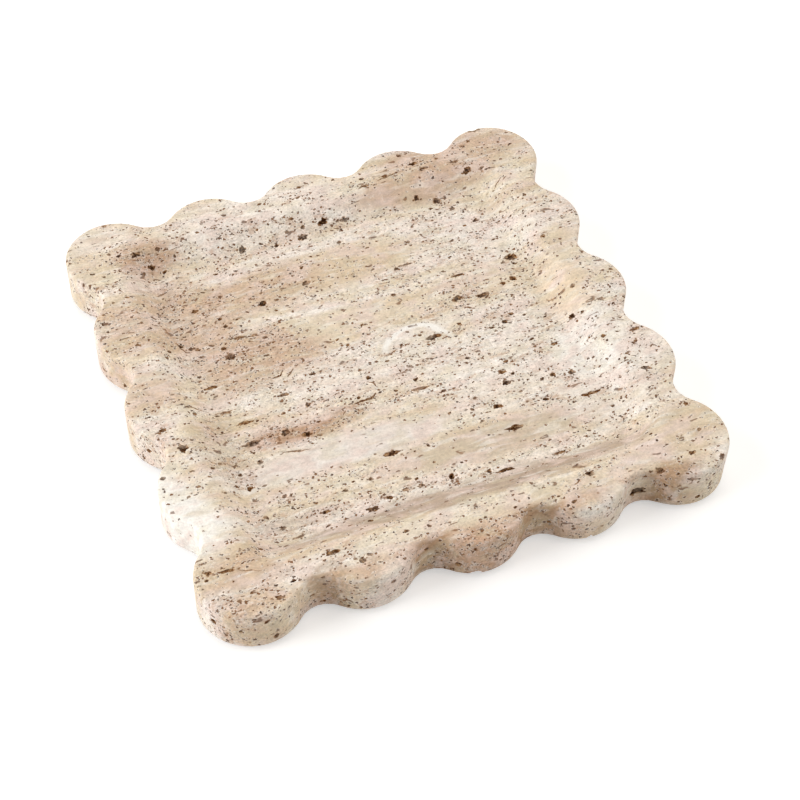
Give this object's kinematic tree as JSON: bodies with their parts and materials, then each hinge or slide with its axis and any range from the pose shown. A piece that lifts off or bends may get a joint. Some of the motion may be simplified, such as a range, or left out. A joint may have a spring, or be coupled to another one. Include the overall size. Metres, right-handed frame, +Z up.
{
  "type": "serving tray",
  "caption": "Square stone serving tray with a scalloped edge and a shallow recess with sloping walls, standing on low rubber feet.",
  "frame": {"origin": "under the middle of the tray, on the surface that its feet stand on", "axes": "+Z up, +X to the right along the front edge, +Y from the front edge to the back"},
  "size_m": [0.2218, 0.2218, 0.0223],
  "materials": {
    "travertine": "honed, unfilled, with open pores",
    "foot_rubber": "matt moulded rubber",
    "adhesive": "plain, milky"
  },
  "bodies": {
    "root": {"travertine_slab": "travertine", "foot_front_left": "foot_rubber", "foot_front_right": "foot_rubber", "foot_back_left": "foot_rubber", "foot_back_right": "foot_rubber", "adhesive_front_left": "adhesive", "adhesive_front_right": "adhesive", "adhesive_back_left": "adhesive", "adhesive_back_right": "adhesive"}
  },
  "joints": []
}
